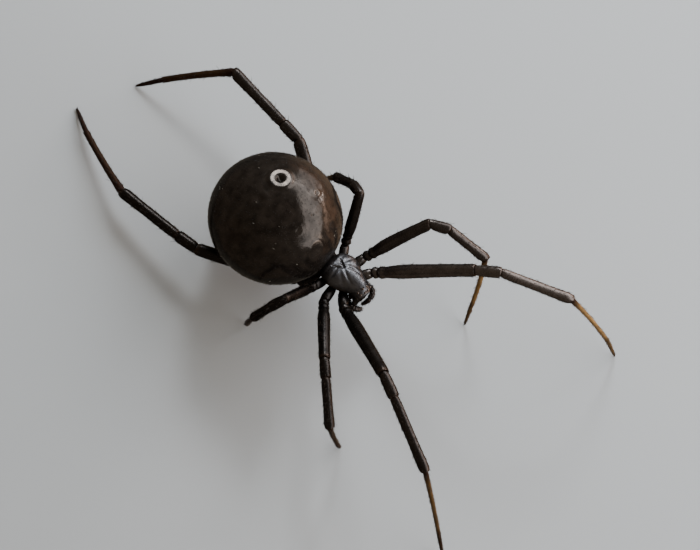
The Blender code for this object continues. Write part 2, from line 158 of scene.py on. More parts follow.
# Rows that turn a tube's end in: step along its axis, share of its size.
TURN_IN = ((-0.006, 0.9), (0.05, 0.8))
TIP_DROP = 0.08
CLAW_SIZE = 0.1
MEMBRANE_SHARE = 0.84
MEMBRANE_REACH = 0.11
MEMBRANE_SLOT, SHIN_SLOT = 1, 2
PARTS = ("coxa", "trochanter", "femur", "patella", "tibia", "metatarsus", "tarsus")
PROFILE = {
    "coxa": ((0, 0.78), (0.15, 0.9), (0.45, 1.0), (0.75, 0.99), (0.92, 0.9), (1, 0.8)),
    "trochanter": ((0, 0.84), (0.3, 1.03), (0.65, 1.0), (1, 0.84)),
    "femur": (
        (0, 0.76), (0.02, 0.88), (0.038, 0.9), (0.075, 0.82),
        (0.12, 0.88), (0.24, 1.0), (0.45, 0.99), (0.7, 0.94),
        (0.88, 0.91), (0.96, 0.93), (1, 0.84),
    ),
    "patella": ((0, 0.82), (0.12, 0.92), (0.45, 0.98), (0.8, 1.0), (0.94, 0.98), (1, 0.87)),
    "tibia": (
        (0, 0.8), (0.05, 0.9), (0.25, 0.93), (0.6, 0.93), (0.86, 1.0), (0.95, 1.02), (1, 0.86)
    ),
    "metatarsus": ((0, 1.05), (0.05, 1.18), (0.14, 1.06), (0.5, 0.94), (0.9, 0.88), (1, 0.92)),
    "tarsus": ((0, 0.96), (0.08, 1.04), (0.5, 0.92), (0.85, 0.68), (1, 0.42)),
}
# Thighs of the hind legs are slimmer under the abdomen.
HIND_FEMUR = (
    (0, 0.76), (0.02, 0.86), (0.038, 0.88), (0.075, 0.78), (0.2, 0.84), (0.5, 0.9),
    (0.75, 1.0), (0.96, 1.0), (1, 0.88),
)
# How far the metatarsus of each pair bows outwards.
SHIN_BOW = {"1": 0.12, "2": 0.08, "3": 0.05, "4": 0.06}
# How much amber shows in the middle of each metatarsus: amber is the shin's own colour, but more is
# given to the legs lit through, which is painted light. Then how many times the plain leg brown is
# scaled on the
# rest of each leg: painted sheen where it goes up, painted shade where it goes down.
LEG_AMBER_AND_PAINTED_LIGHT = {
    "left_1": (1.0, 2.6), "left_2": (0.9, 1.5), "left_3": (0.3, 1.0), "left_4": (0.08, 0.9),
    "right_1": (0.38, 0.8), "right_2": (0.06, 0.55), "right_3": (0.0, 0.4), "right_4": (0.03, 0.45),
}
# Bristles to each millimetre of a segment, and their length.
BRISTLES = {
    "coxa": (16, 0.16), "trochanter": (26, 0.16), "femur": (34, 0.22), "patella": (48, 0.22),
    "tibia": (56, 0.22), "metatarsus": (62, 0.2), "tarsus": (80, 0.17),
}
# Stout bristles of a segment: share of its length, angle from its back, length.
STOUT = {
    "femur": ((0.3, -20, 0.34), (0.52, 15, 0.34), (0.74, -10, 0.36), (0.9, 25, 0.3)),
    "patella": ((0.1, 0, 0.34), (0.9, 5, 0.42)),
    "tibia": (
        (0.22, 0, 0.44), (0.72, 4, 0.42), (0.45, 150, 0.32), (0.7, 205, 0.32), (0.93, 120, 0.3)
    ),
    "metatarsus": ((0.2, 0, 0.42), (0.4, 165, 0.3), (0.6, 190, 0.3), (0.8, 170, 0.28)),
}
# Thickness of hairs, how deep they are rooted, and the height below which none is made.
LEG_HAIR, STOUT_HAIR, FACE_HAIR = 0.013, 0.02, 0.01
FINE_HAIR, TAIL_HAIR, PAINTED_GLINT_HAIR = 0.009, 0.008, 0.018
HAIR_ROOT = 0.02
FLOOR_MARGIN = 0.03
# Spinnerets: angle of their seat, and for each of one side its shift, height, radius, length.
SPINNERET_RISE = -44
SPINNERETS = ((0.24, -0.22, 0.19, 0.52), (0.22, 0.22, 0.165, 0.46), (0.1, 0.0, 0.11, 0.34))
# Softness of the hollows over the hind thighs.
PRESS_EDGE = 0.16

BLACK = (0.046, 0.037, 0.031)
UMBER = (0.04, 0.03, 0.024)
# Lighter tone of the carapace's top: painted sheen that brightens its highlights.
PAINTED_SHEEN_TOP = (0.135, 0.126, 0.128)
BROWN_BLACK = (0.044, 0.036, 0.032)
LEG_BROWN = (0.048, 0.038, 0.033)
JOINT_BROWN = (0.06, 0.036, 0.025)
AMBER = (0.33, 0.185, 0.07)
SHIN_BROWN = (0.026, 0.012, 0.008)
SOFT_BROWN = (0.06, 0.036, 0.024)
HAIR_BROWN = (0.016, 0.011, 0.009)
RED = (0.56, 0.022, 0.01)
UNDER_BROWN = (0.0488, 0.036, 0.0296)
CLAW_BROWN = (0.035, 0.016, 0.01)
FANG_BLACK = (0.03, 0.01, 0.006)
FANG_BROWN = (0.1, 0.03, 0.014)
EYE_BROWN = (0.07, 0.03, 0.012)
# Whitish tint of a few abdomen hairs: painted glints.
PAINTED_GLINT_TINT = (0.45, 0.4, 0.33)
METAL_EDGE = 0.2
FLOOR_GREY = (0.56, 0.55, 0.54)
SKY = (0.23, 0.2, 0.16, 1.0)
WARM_SKY = (1.7, 1.05, 0.62, 1.0)
DAYLIGHT = (0.84, 0.92, 1.0)


def clamp(t):
    return max(0.0, min(1.0, t))


def soft(t):
    t = clamp(t)
    return t * t * (3 - 2 * t)


def mix(a, b, share):
    return tuple(x + (y - x) * share for x, y in zip(a, b))


def unit(vector):
    return vector.normalized()


def square_to(vector, axis):
    """The direction of a vector's part at right angles to an axis."""
    return unit(vector - axis * vector.dot(axis))


def between(table, at):
    """Value at a place, on a smooth curve through the rows of a table."""
    last = len(table) - 1
    k = 0
    while k < last - 1 and at > table[k + 1][0]:
        k += 1

    def slope(row):
        low, high = table[max(0, row - 1)], table[min(last, row + 1)]
        return (high[1] - low[1]) / (high[0] - low[0])

    (here, first), (there, second) = table[k], table[k + 1]
    step = there - here
    t = clamp((at - here) / step)
    value = first * (1 + 2 * t) * (1 - t) ** 2 + second * t**2 * (3 - 2 * t)
    return value + step * (slope(k) * t * (1 - t) ** 2 - slope(k + 1) * t**2 * (1 - t))


def body_point(x, y, z):
    """A point given in the cephalothorax's own frame, in the model's frame."""
    turn, roll = radians(BODY_YAW), radians(BODY_ROLL)
    over = z - BODY_PIVOT
    across = cos(roll) * x + sin(roll) * over
    ahead = BODY_PLACE[1] - sin(turn) * across + cos(turn) * y
    across = BODY_PLACE[0] + cos(turn) * across + sin(turn) * y
    return Vector((across, ahead, BODY_PIVOT + cos(roll) * over - sin(roll) * x))


def direction(side, yaw, pitch):
    """Unit vector for a yaw from straight ahead to the given side and a pitch above the floor."""
    yaw, pitch = radians(yaw), radians(pitch)
    flat = cos(pitch)
    return Vector((side * sin(yaw) * flat, -cos(yaw) * flat, sin(pitch)))


def leg_joints(leg, femur_pitch):
    """The seven joints of one leg, and the normal of the plane it bends in."""
    side = 1.0 if leg.startswith("left") else -1.0
    pair = leg[-1]
    coxa_yaw, coxa_pitch, yaw, _, lean, *bends = POSE[leg]
    x, y, twist = COXA_ROOT[pair]
    point = body_point(side * x, y + side * twist, ROOT_HEIGHT)
    joints = [point]
    coxa, *lengths = LENGTHS[pair]
    point = point + coxa * direction(side, coxa_yaw, coxa_pitch)
    joints.append(point)
    along = direction(side, yaw, femur_pitch)
    down = direction(side, yaw, femur_pitch - 90)
    across = along.cross(down) * side
    lean = radians(lean)
    inward = cos(lean) * down + sin(lean) * across
    turned = 0.0
    for length, bend in zip(lengths, (0.0, *bends)):
        turned += radians(bend)
        point = point + length * (cos(turned) * along + sin(turned) * inward)
        joints.append(point)
    return joints, along.cross(inward)


def settled_leg(leg):
    """Turns the femur by a few degrees so that the leg's tip stands on the floor."""
    pitch = POSE[leg][3]
    low, high = pitch - PITCH_PLAY, pitch + PITCH_PLAY
    for _ in range(HALVINGS):
        middle = 0.5 * (low + high)
        if leg_joints(leg, middle)[0][-1].z > FOOT_RADIUS:
            high = middle
        else:
            low = middle
    return leg_joints(leg, middle)


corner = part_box("abdomen")[0]
low_x, low_y = (ABDOMEN_CENTRE - ABDOMEN_SEMI).xy
SHIFT = Vector((corner[0] / MM - low_x, corner[1] / MM - low_y, 0.0))


class Shape:
    """Points in the model's frame with their faces, tints and places on the unwrap."""

    def __init__(self):
        self.points, self.places, self.tints = [], [], []
        self.faces, self.slots = [], []

    def add(self, points, faces, tint, slot=0, places=None):
        first = len(self.points)
        self.points += points
        self.faces += [tuple(first + i for i in face) for face in faces]
        self.tints += tint if isinstance(tint, list) else [tint] * len(points)
        self.slots += [slot] * len(faces)
        self.places += places if places else [(0.0, 0.0)] * len(points)

    def join(self, other):
        self.add(other.points, other.faces, other.tints, 0, other.places)


def new_object(name, data):
    thing = bpy.data.objects.new(name, data)
    bpy.context.scene.collection.objects.link(thing)
    return thing


def build(name, shape, materials, nodes=(), unwrap=False):
    """Makes the object of a shape, riding on the still body."""
    mesh = bpy.data.meshes.new(name)
    mesh.from_pydata([tuple((p + SHIFT) * MM) for p in shape.points], [], shape.faces)
    mesh.polygons.foreach_set("material_index", shape.slots)
    colour = mesh.color_attributes.new("tint", "FLOAT_COLOR", "POINT")
    colour.data.foreach_set("color", [c for tint in shape.tints for c in (*tint, 1.0)])
    if unwrap:
        layer = mesh.uv_layers.new(name="OFBake")
        corners = [0] * len(mesh.loops)
        mesh.loops.foreach_get("vertex_index", corners)
        layer.data.foreach_set("uv", [c for i in corners for c in shape.places[i]])
    bm = bmesh.new()
    bm.from_mesh(mesh)
    bmesh.ops.recalc_face_normals(bm, faces=bm.faces)
    bm.to_mesh(mesh)
    bm.free()
    mesh.shade_smooth()
    for material in materials:
        mesh.materials.append(material)
    piece = new_object(name, mesh)
    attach(piece, "root")
    if nodes:
        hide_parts(*nodes)


def ring_faces(rings, sides):
    faces = []
    for k in range(rings - 1):
        for i in range(sides):
            j = (i + 1) % sides
            faces.append((k * sides + i, k * sides + j, (k + 1) * sides + j, (k + 1) * sides + i))
    return faces


def globe_faces(rings, around):
    """Faces of a globe whose points are its rings, one after the other, and then its two poles."""
    faces = ring_faces(rings, around)
    last, pole = (rings - 1) * around, rings * around
    for i in range(around):
        j = (i + 1) % around
        faces += [(i, j, pole), (last + i, last + j, pole + 1)]
    return faces


def turned_in(row, axis):
    """Two narrower rows at a tube's end."""
    centre, up, across, high, wide = row
    return [(centre + axis * step, up, across, high * size, wide * size) for step, size in TURN_IN]


def add_tube(shape, rows, tints, sides=28, slot=0):
    """A closed tube over rows of centre, up, across, radius up and radius across."""
    first, last = rows[0], rows[-1]
    inward = unit(rows[1][0] - first[0])
    outward = unit(last[0] - rows[-2][0])
    full = turned_in(first, inward)[::-1] + list(rows) + turned_in(last, -outward)
    shades = [tints[0], tints[0], *tints, tints[-1], tints[-1]]
    points, colours = [], []
    for (centre, up, across, high, wide), tint in zip(full, shades):
        for i in range(sides):
            angle = tau * i / sides
            points.append(centre + up * high * cos(angle) + across * wide * sin(angle))
            colours.append(tint)
    faces = ring_faces(len(full), sides)
    for row, base in ((0, 0), (-1, (len(full) - 1) * sides)):
        points.append(full[row][0])
        colours.append(shades[row])
        faces += [(base + i, base + (i + 1) % sides, len(points) - 1) for i in range(sides)]
    shape.add(points, faces, colours, slot)


def segment_rows(start, end, start_normal, end_normal, plane, radius, profile, bow):
    """Rows of one segment: its rings turn into the planes of its two joints."""
    axis = unit(end - start)
    length = (end - start).length
    count = max(16, int(length * ROWS_PER_MM))
    rows, shares = [], []
    for k in range(count):
        u = k / (count - 1)
        share = EVEN_ROWS * u + (1 - EVEN_ROWS) * (0.5 - 0.5 * cos(pi * u))
        place = start + axis * (SEAM + share * (length - 2 * SEAM))
        place += bow * (4 * share * (1 - share))
        reach = min(ELBOW, 0.45 * length)
        to_start = soft(1 - share * length / reach)
        to_end = soft(1 - (1 - share) * length / reach)
        normal = unit(axis + to_start * (start_normal - axis) + to_end * (end_normal - axis))
        across = square_to(plane, normal)
        wide = radius * between(profile, share)
        stretch = 1 + TURN_STRETCH * (1 / max(0.5, normal.dot(axis)) - 1)
        rows.append((place, normal.cross(across), across, wide * stretch, wide * FLATNESS))
        shares.append(share)
    return rows, shares


def segment_tint(part, share, leg):
    """Colour along a segment: black thighs, faintly brown joints, amber shins dark at both ends.
    Each whole leg is made lighter by painted sheen or darker by painted shade.
    """
    amber, sheen_and_shade = LEG_AMBER_AND_PAINTED_LIGHT[leg]
    # The amber share is partly painted light: legs lit through get more of it.
    if part == "metatarsus":
        middle = soft(share / 0.22) * soft((1.08 - share) / 0.3)
        return mix(SHIN_BROWN, AMBER, middle * amber)
    if part == "tarsus":
        return mix(SHIN_BROWN, AMBER, 0.45 * amber**2 * soft((1.1 - share) / 0.6))
    brown = {"coxa": 0.0, "trochanter": 0.1, "femur": 0.3}.get(part, 0.9)
    # Painted sheen and painted shade: the leg's brown is scaled lighter or darker for the whole
    # leg.
    base = tuple(sheen_and_shade * c for c in mix(BROWN_BLACK, LEG_BROWN, brown))
    if part in ("coxa", "trochanter"):
        return base
    rim = max(soft(1 - share / 0.04), soft(1 - (1 - share) / 0.05))
    return mix(base, JOINT_BROWN, 0.5 * rim)


def add_membrane(shape, centre, normal, plane, radius):
    """The soft skin that shows in the slit of a joint."""
    across = square_to(plane, normal)
    up = normal.cross(across)
    rows = []
    for k in range(7):
        t = k / 3 - 1
        wide = radius * (1 - 0.22 * t * t) * (1 + 0.03 * cos(9 * t))
        rows.append((centre + normal * (MEMBRANE_REACH * t), up, across, wide, wide))
    add_tube(shape, rows, [SOFT_BROWN] * len(rows), 24, MEMBRANE_SLOT)


def add_bristle(shape, root, out, along, length, thick, lift, tint, place):
    """One tapered hair of three sides, bent back a little to the skin."""
    side = unit(along.cross(out))
    flat = sqrt(1 - lift * lift)
    end = root + along * (length * flat) + out * (lift * length)
    if min(root.z, end.z) < FLOOR_MARGIN:
        return
    points, places = [], []
    for t in (0.0, 0.4, 0.75, 1.0):
        rise = lift * length * t * (1.15 - 0.3 * t)
        centre = root - out * HAIR_ROOT + along * (length * t * flat) + out * rise
        r = thick * (1 - 0.6 * t)
        if t == 1.0:
            points.append(centre)
            places.append((place[0] + 0.003, place[1] + 0.0015))
            break
        for k in range(3):
            angle = radians(90 + 120 * k)
            points.append(centre + side * (r * cos(angle)) + out * (r * sin(angle)))
            places.append((place[0] + 0.003 * t, place[1] + 0.001 * k))
    faces = ring_faces(3, 3) + [(0, 1, 2), (6, 7, 9), (7, 8, 9), (8, 6, 9)]
    shape.add(points, faces, tint, 0, places)


class Skin:
    """Finds places on a swept tube, for rooting bristles."""

    def __init__(self, rows):
        self.rows = rows
        self.marks = [0.0]
        for a, b in zip(rows, rows[1:]):
            self.marks.append(self.marks[-1] + (b[0] - a[0]).length)

    def place(self, share, angle):
        at = share * self.marks[-1]
        k = min(len(self.rows) - 2, max(0, bisect.bisect_right(self.marks, at) - 1))
        t = (at - self.marks[k]) / (self.marks[k + 1] - self.marks[k])
        ends = []
        for centre, up, across, high, wide in self.rows[k : k + 2]:
            ends.append(centre + up * (high * cos(angle)) + across * (wide * sin(angle)))
        a, b = ends
        along = unit(b - a)
        _, up, across, *_ = self.rows[k]
        out = square_to(up * cos(angle) + across * sin(angle), along)
        return a.lerp(b, t), out, along


def leg_strip(number, along, turn):
    """Place on the unwrap, where each leg has a strip of its own."""
    return 0.02 + 0.95 * along, (number + turn) / len(POSE)


def leg_pieces(leg, number):
    """The skin, bristles and claws of one leg."""
    pair = leg[-1]
    joints, plane = settled_leg(leg)
    joints[-1] = joints[-1] - Vector((0, 0, TIP_DROP))
    femur_axis = unit(joints[2] - joints[1])
    joints.insert(2, joints[1] + femur_axis * TROCHANTER)
    spans = [b - a for a, b in zip(joints, joints[1:])]
    steps = [unit(v) for v in spans]
    skin, hair, claws = Shape(), Shape(), Shape()
    total = sum(v.length for v in spans)
    done = 0.0
    last_radius = None
    for k, part in enumerate(PARTS):
        start, end = joints[k], joints[k + 1]
        length = spans[k].length
        radius = THICKNESS[pair][k]
        start_normal = unit(steps[k - 1] + steps[k]) if k else steps[0]
        end_normal = unit(steps[k] + steps[k + 1]) if k + 1 < len(steps) else steps[k]
        across = plane
        if part == "coxa":
            across = unit(steps[0].cross(Vector((0, 0, -1))))
        bow = Vector()
        if part in ("femur", "metatarsus"):
            reach = (FEMUR_BOW if part == "femur" else SHIN_BOW)[pair]
            bow = unit(steps[k].cross(plane)) * reach
        profile = HIND_FEMUR if part == "femur" and pair == "4" else PROFILE[part]
        rows, shares = segment_rows(
            start, end, start_normal, end_normal, across, radius, profile, bow
        )
        slot = SHIN_SLOT if part in ("metatarsus", "tarsus") else 0
        add_tube(skin, rows, [segment_tint(part, s, leg) for s in shares], slot=slot)
        if last_radius:
            tight = MEMBRANE_SHARE * min(radius * PROFILE[part][0][1], last_radius)
            add_membrane(skin, start, start_normal, across, tight)
        last_radius = radius * PROFILE[part][-1][1]
        place = Skin(rows)
        per_mm, hair_length = BRISTLES[part]
        for _ in range(int(per_mm * length)):
            share, angle = random(), uniform(0, tau)
            root, out, along = place.place(share, angle)
            along = unit(along + out.cross(along) * uniform(-0.25, 0.25))
            reach = hair_length * uniform(0.7, 1.3)
            lift = uniform(0.3, 0.62)
            uv = leg_strip(number, (done + share * length) / total, 0.05 + 0.9 * angle / tau)
            # Shin hairs take the leg's amber share, which is partly painted light.
            amber = uniform(0, 0.35) * LEG_AMBER_AND_PAINTED_LIGHT[leg][0] if slot == SHIN_SLOT else 0.05
            tint = mix(HAIR_BROWN, AMBER, amber)
            add_bristle(hair, root, out, along, reach, LEG_HAIR, lift, tint, uv)
        for share, angle, reach in STOUT.get(part, ()):
            root, out, along = place.place(share, radians(angle))
            uv = leg_strip(number, (done + share * length) / total, 0.5)
            add_bristle(hair, root, out, along, reach, STOUT_HAIR, 0.8, HAIR_BROWN, uv)
        done += length
    add_claws(claws, joints[-1], steps[-1], plane)
    return skin, hair, claws


def add_claws(shape, tip, axis, plane):
    """Two hooked claws and a small third one at the end of a tarsus, reaching to the floor."""
    up = unit(axis.cross(plane))
    for side, size in ((0.035, 1.0), (-0.035, 1.0), (0.0, 0.6)):
        root = tip - axis * 0.03 + plane * side
        rows = []
        for k in range(7):
            t = k / 6
            turn = 1.5 * t
            hook = axis * sin(turn) - up * (1 - cos(turn))
            centre = root + hook * (CLAW_SIZE * size) + plane * (side * t * 0.5)
            centre.z = max(centre.z, 0.012)
            forward = unit(axis * cos(turn) - up * sin(turn))
            thin = 1 - 0.85 * t
            rows.append((centre, forward.cross(plane), plane, 0.018 * thin, 0.014 * thin))
        add_tube(shape, rows, [CLAW_BROWN] * len(rows), 8)


def rim_height(y):
    """The rim drops towards the rear."""
    t = clamp(y - 0.5)
    return RIM_HEIGHT - 0.22 * t * t


def course_reach(x, y, course):
    """Distance from a broken line, and how far along it the nearest place lies, from 0 to 1."""
    best, at = 9.0, 0.0
    last = len(course) - 1
    for k in range(last):
        (ax, ay), (bx, by) = course[k], course[k + 1]
        dx, dy = bx - ax, by - ay
        t = clamp(((x - ax) * dx + (y - ay) * dy) / (dx * dx + dy * dy))
        far = hypot(x - ax - t * dx, y - ay - t * dy)
        if far < best:
            best, at = far, (k + t) / last
    return best, at


def groove(x, y):
    """Depth of the middle pit and of the grooves that run out from it."""
    x = abs(x)
    depth = 0.07 * exp(-((x / 0.1) ** 2) - ((y - 0.42) / 0.12) ** 2)
    depth += 0.19 * exp(-((x / 0.6) ** 2) - ((y - 0.85) / 0.5) ** 2)
    for wide, deep, course in GROOVES:
        far, at = course_reach(x, y, course)
        if far < 3 * wide:
            depth += deep * (0.35 + 0.65 * sin(pi * at)) * exp(-((far / wide) ** 2))
    return depth


def carapace_height(x, y):
    wide = between(CARAPACE_OUTLINE, y)
    top = CARAPACE_RISE * between(CARAPACE_RIDGE, y)
    across = min(1.0, abs(x) / wide)
    return rim_height(y) + top * (1 - across**2) ** 0.7 - groove(x, y) * soft((1 - across) / 0.25)


def sternum_height(y):
    """The underside, rising to the mouth in front and to the waist behind."""
    ahead = clamp((y + 1.25) / 0.55)
    behind = clamp((y - 0.75) / 0.75)
    bottom = 3.32 - (3.32 - STERNUM_BOTTOM) * ahead
    return bottom + (rim_height(y) - 0.3 - bottom) * behind**1.5


def cephalothorax_shape():
    """The carapace with its grooves, and the underside with the sternum."""
    stations, dome = 200, 140
    front, rear = CARAPACE_OUTLINE[0][0], CARAPACE_OUTLINE[-1][0]
    rings = []
    for k in range(stations):
        y = front + (rear - front) * (0.5 - 0.5 * cos(pi * k / (stations - 1)))
        wide, rim = between(CARAPACE_OUTLINE, y), rim_height(y)
        inner = min(between(STERNUM_OUTLINE, y), 0.86 * wide)
        bottom = sternum_height(y)
        across = [wide * cos(pi * i / dome) for i in range(dome + 1)]
        row = [(x, carapace_height(x, y)) for x in across]
        half = [
            (wide - 0.015, rim - 0.035), (wide - 0.05, rim - 0.05),
            (0.45 * wide + 0.55 * inner, rim - 0.1), (inner, rim - 0.18),
            (inner * 0.94, 0.5 * (rim - 0.18 + bottom)),
            (inner * 0.8, bottom + 0.06), (inner * 0.45, bottom + 0.02),
        ]
        row += [(-x, z) for x, z in half] + [(0.0, bottom)] + half[::-1]
        rings.append((y, row))
    caps = []
    for end, sign in ((0, -1), (-1, 1)):
        y, row = rings[end]
        middle = sum(z for _, z in row) / len(row)
        cap = []
        for push, size in ((0.022, 0.93), (0.038, 0.78), (0.048, 0.45)):
            shrunk = [(x * size, middle + (z - middle) * size) for x, z in row]
            cap.append((y + sign * push, shrunk))
        caps.append(cap)
    rings = caps[0][::-1] + rings + caps[1]
    points, tints = [], []
    for y, row in rings:
        for x, z in row:
            points.append(body_point(x, y, z))
            # Painted sheen: the carapace turns lighter towards its top.
            painted_sheen = soft((z - rim_height(y) + 0.05) / 0.35)
            tints.append(mix(UNDER_BROWN, PAINTED_SHEEN_TOP, painted_sheen))
    sides = len(rings[0][1])
    last = (len(rings) - 1) * sides
    faces = ring_faces(len(rings), sides)
    faces += [tuple(range(sides)), tuple(range(last, last + sides))]
    shape = Shape()
    shape.add(points, faces, tints)
    add_sternum(shape)
    return shape


def add_sternum(shape):
    """The heart-shaped plate between the coxae, and the lip and mouth lobes in front of it."""
    rows, columns = 40, 20
    points, faces = [], []
    for layer in (-0.035, 0.05):
        for k in range(rows):
            y = -0.86 + 2.1 * k / (rows - 1)
            taper = sqrt(max(0.02, 1 - ((y - 0.1) / 1.16) ** 4))
            wide = between(STERNUM_OUTLINE, y) * 0.86 * taper
            for i in range(columns):
                s = 2 * i / (columns - 1) - 1
                lift = 0.05 * s**2 + 0.02 * s**8
                points.append(body_point(wide * s, y, sternum_height(y) + layer + lift))
    size = rows * columns
    for layer in (0, 1):
        for k in range(rows - 1):
            for i in range(columns - 1):
                a = layer * size + k * columns + i
                faces.append((a, a + 1, a + columns + 1, a + columns))
    edge = [*range(columns), *range(2 * columns - 1, size, columns)]
    edge += [*range(size - 2, size - columns - 1, -1), *range(size - 2 * columns, 0, -columns)]
    faces += [(a, b, b + size, a + size) for a, b in zip(edge, edge[1:] + edge[:1])]
    shape.add(points, faces, BLACK)
    for x, y, z, deep in MOUTH_PARTS:
        tint = mix(BROWN_BLACK, SOFT_BROWN, 0.2)
        add_ball(shape, body_point(x, y, z), (0.13, deep, 0.15), tint, 20, 14)


def add_ball(shape, centre, radii, tint, around, rings):
    points = []
    for k in range(1, rings):
        rise = pi * (k / rings - 0.5)
        for i in range(around):
            turn = tau * i / around
            flat = cos(rise)
            offset = (flat * cos(turn), flat * sin(turn), sin(rise))
            points.append(centre + Vector([r * o for r, o in zip(radii, offset)]))
    pole = Vector((0, 0, radii[2]))
    shape.add([*points, centre - pole, centre + pole], globe_faces(rings - 1, around), tint)


def smooth_path(points, count):
    """Points on a smooth curve through the given ones."""
    padded = [2 * points[0] - points[1], *points, 2 * points[-1] - points[-2]]
    out = []
    for n in range(count):
        at = n / (count - 1) * (len(points) - 1)
        k = min(len(points) - 2, int(at))
        t = at - k
        a, b, c, d = padded[k : k + 4]
        curve = (2 * a - 5 * b + 4 * c - d) * t**2 + (3 * b - a - 3 * c + d) * t**3
        out.append(0.5 * (2 * b + (c - a) * t + curve))
    return out


def path_rows(points, radii, count, nicks=(), nick=0.24):
    """Rows along a smooth curve, with a narrow place at each nick."""
    centres = smooth_path(points, count)
    table = [(k / (len(radii) - 1), r) for k, r in enumerate(radii)]
    rows = []
    up = Vector((0.2, -0.9, 0.4))
    for k, centre in enumerate(centres):
        share = k / (count - 1)
        axis = unit(centres[min(count - 1, k + 1)] - centres[max(0, k - 1)])
        across = unit(axis.cross(up))
        up = across.cross(axis)
        wide = between(table, share)
        for at in nicks:
            wide *= 1 - nick * exp(-(((share - at) / 0.022) ** 2))
        rows.append((centre, up, across, wide, wide))
    return rows


def rounded(rows):
    """Adds shrinking rows at both ends of a tube."""
    caps = []
    for row, beside in ((rows[0], rows[1]), (rows[-1], rows[-2])):
        centre, up, across, high, wide = row
        axis = unit(centre - beside[0])
        cap = []
        for turn in (30, 55, 75):
            step, size = 0.8 * sin(radians(turn)), cos(radians(turn))
            cap.append((centre + axis * (wide * step), up, across, high * size, wide * size))
        caps.append(cap)
    return caps[0][::-1] + list(rows) + caps[1]


def body_path(path, side=1):
    return [body_point(side * x, y, z) for x, y, z in path]


def head_shapes(side, word):
    """Chelicera with its fang, palp, and their bristles."""
    jaw, fang, palp, hair = Shape(), Shape(), Shape(), Shape()
    rows = rounded(path_rows(body_path(JAW_PATH, side), JAW_RADII, 26))
    tints = [mix(BLACK, JOINT_BROWN, 0.35 * soft((k - 18) / 12)) for k in range(len(rows))]
    add_tube(jaw, rows, tints)
    root_bristles(hair, rows, 150, 0.15, FACE_HAIR, (0.1, 0.95))
    rows = path_rows(body_path(FANG_PATH, side), FANG_RADII, 22)
    add_tube(fang, rows, [mix(FANG_BLACK, FANG_BROWN, soft(k / 22)) for k in range(22)], 16)
    rows = rounded(path_rows(body_path(PALP_PATH[word]), PALP_RADII, 70, (0.12, 0.46, 0.58, 0.76)))
    tints = [mix(BROWN_BLACK, JOINT_BROWN, 0.5 * soft((k - 40) / 30)) for k in range(len(rows))]
    add_tube(palp, rows, tints)
    root_bristles(hair, rows, 420, 0.2, FACE_HAIR, (0.12, 0.99))
    return jaw, fang, palp, hair


def root_bristles(shape, rows, count, length, thick, span):
    """Bristles all over a tube, between two shares of its length."""
    place = Skin(rows)
    for _ in range(count):
        share, angle = uniform(*span), uniform(0, tau)
        root, out, along = place.place(share, angle)
        along = unit(along + out.cross(along) * uniform(-0.3, 0.3))
        uv = (0.02 + 0.95 * share, 0.02 + 0.95 * angle / tau)
        reach = length * uniform(0.6, 1.3)
        lift = uniform(0.35, 0.75)
        add_bristle(shape, root, out, along, reach, thick, lift, HAIR_BROWN, uv)


def eye_shape():
    """Eight domed lenses."""
    shape = Shape()
    for side in (-1, 1):
        for x, y, radius in EYES:
            seat = body_point(side * x, y, carapace_height(x, y) - 0.012)
            add_ball(shape, seat, (radius, radius, radius * 0.92), EYE_BROWN, 28, 18)
    return shape


def carapace_bristles():
    """Short hairs of the carapace, pointing forward, denser along the rim and longer in front."""
    shape = Shape()
    for _ in range(1500):
        y = uniform(-1.58, 1.4)
        wide = between(CARAPACE_OUTLINE, y)
        s = uniform(-1, 1)
        x = wide * copysign(1 - (1 - abs(s)) ** 1.6, s) * 0.985
        step = 0.02
        root = body_point(x, y, carapace_height(x, y))
        ahead = body_point(x * 0.98, y - step, carapace_height(x * 0.98, y - step))
        level = carapace_height(x + step if abs(x + step) < wide else x, y)
        beside = body_point(x + step, y, level)
        along = unit(ahead - root)
        out = unit((beside - root).cross(ahead - root))
        if out.z < 0:
            out = -out
        if abs(x) / wide > 0.9:
            sideways = body_point(copysign(1, x), 0, 0) - body_point(0, 0, 0)
            out = unit(out + sideways)
            along = square_to(along, out)
        reach = (0.13 if y > -1.0 else 0.19) * uniform(0.6, 1.3)
        lift = uniform(0.3, 0.7)
        uv = ((x + 1.5) / 3.0, (y + 1.75) / 3.4)
        add_bristle(shape, root, out, along, reach, FINE_HAIR, lift, HAIR_BROWN, uv)
    return shape


def pedicel_shape():
    """The ringed waist between carapace and abdomen."""
    points = body_path(((0.0, 1.25, 3.26), (-0.01, 1.55, 3.22), (-0.06, 2.45, 3.26)))
    rows = []
    for k, (centre, up, across, _, wide) in enumerate(path_rows(points, (0.17, 0.155, 0.22), 60)):
        wide *= 1 + 0.06 * sin(k * 1.1)
        rows.append((centre, up, across, wide, wide))
    shape = Shape()
    add_tube(shape, rows, [UNDER_BROWN] * len(rows))
    return shape


def pressed(place, start, end, radius):
    """Moves a point near a hind thigh towards the abdomen's middle, with a soft edge."""
    axis = unit(end - start)
    offset = place - start
    offset -= axis * offset.dot(axis)
    far = offset.length
    if far >= radius + 1.2 or place.z > ABDOMEN_CENTRE.z:
        return place
    wanted = far + PRESS_EDGE * log(1 + exp((radius - far) / PRESS_EDGE))
    inward = unit(ABDOMEN_CENTRE - place)
    step = inward - axis * inward.dot(axis)
    square = step.length_squared
    half = offset.dot(step)
    inside = half**2 - square * (far**2 - wanted**2)
    return place + inward * ((-half + sqrt(max(0.0, inside))) / square)


def dimple(far, pit, rim, depth, height):
    """Height of a dimple: a round pit inside a slightly raised ring that drops off outside."""
    if far > 1.5 * rim:
        return 0.0
    level = height + max(0.0, far - pit) ** 2 / 8 + max(0.0, far - pit) * pit / 4
    level *= 1 - soft((far - rim) / (0.45 * rim))
    return level - (depth + height) * soft(1 - (far - 0.15 * pit) / (0.95 * pit))


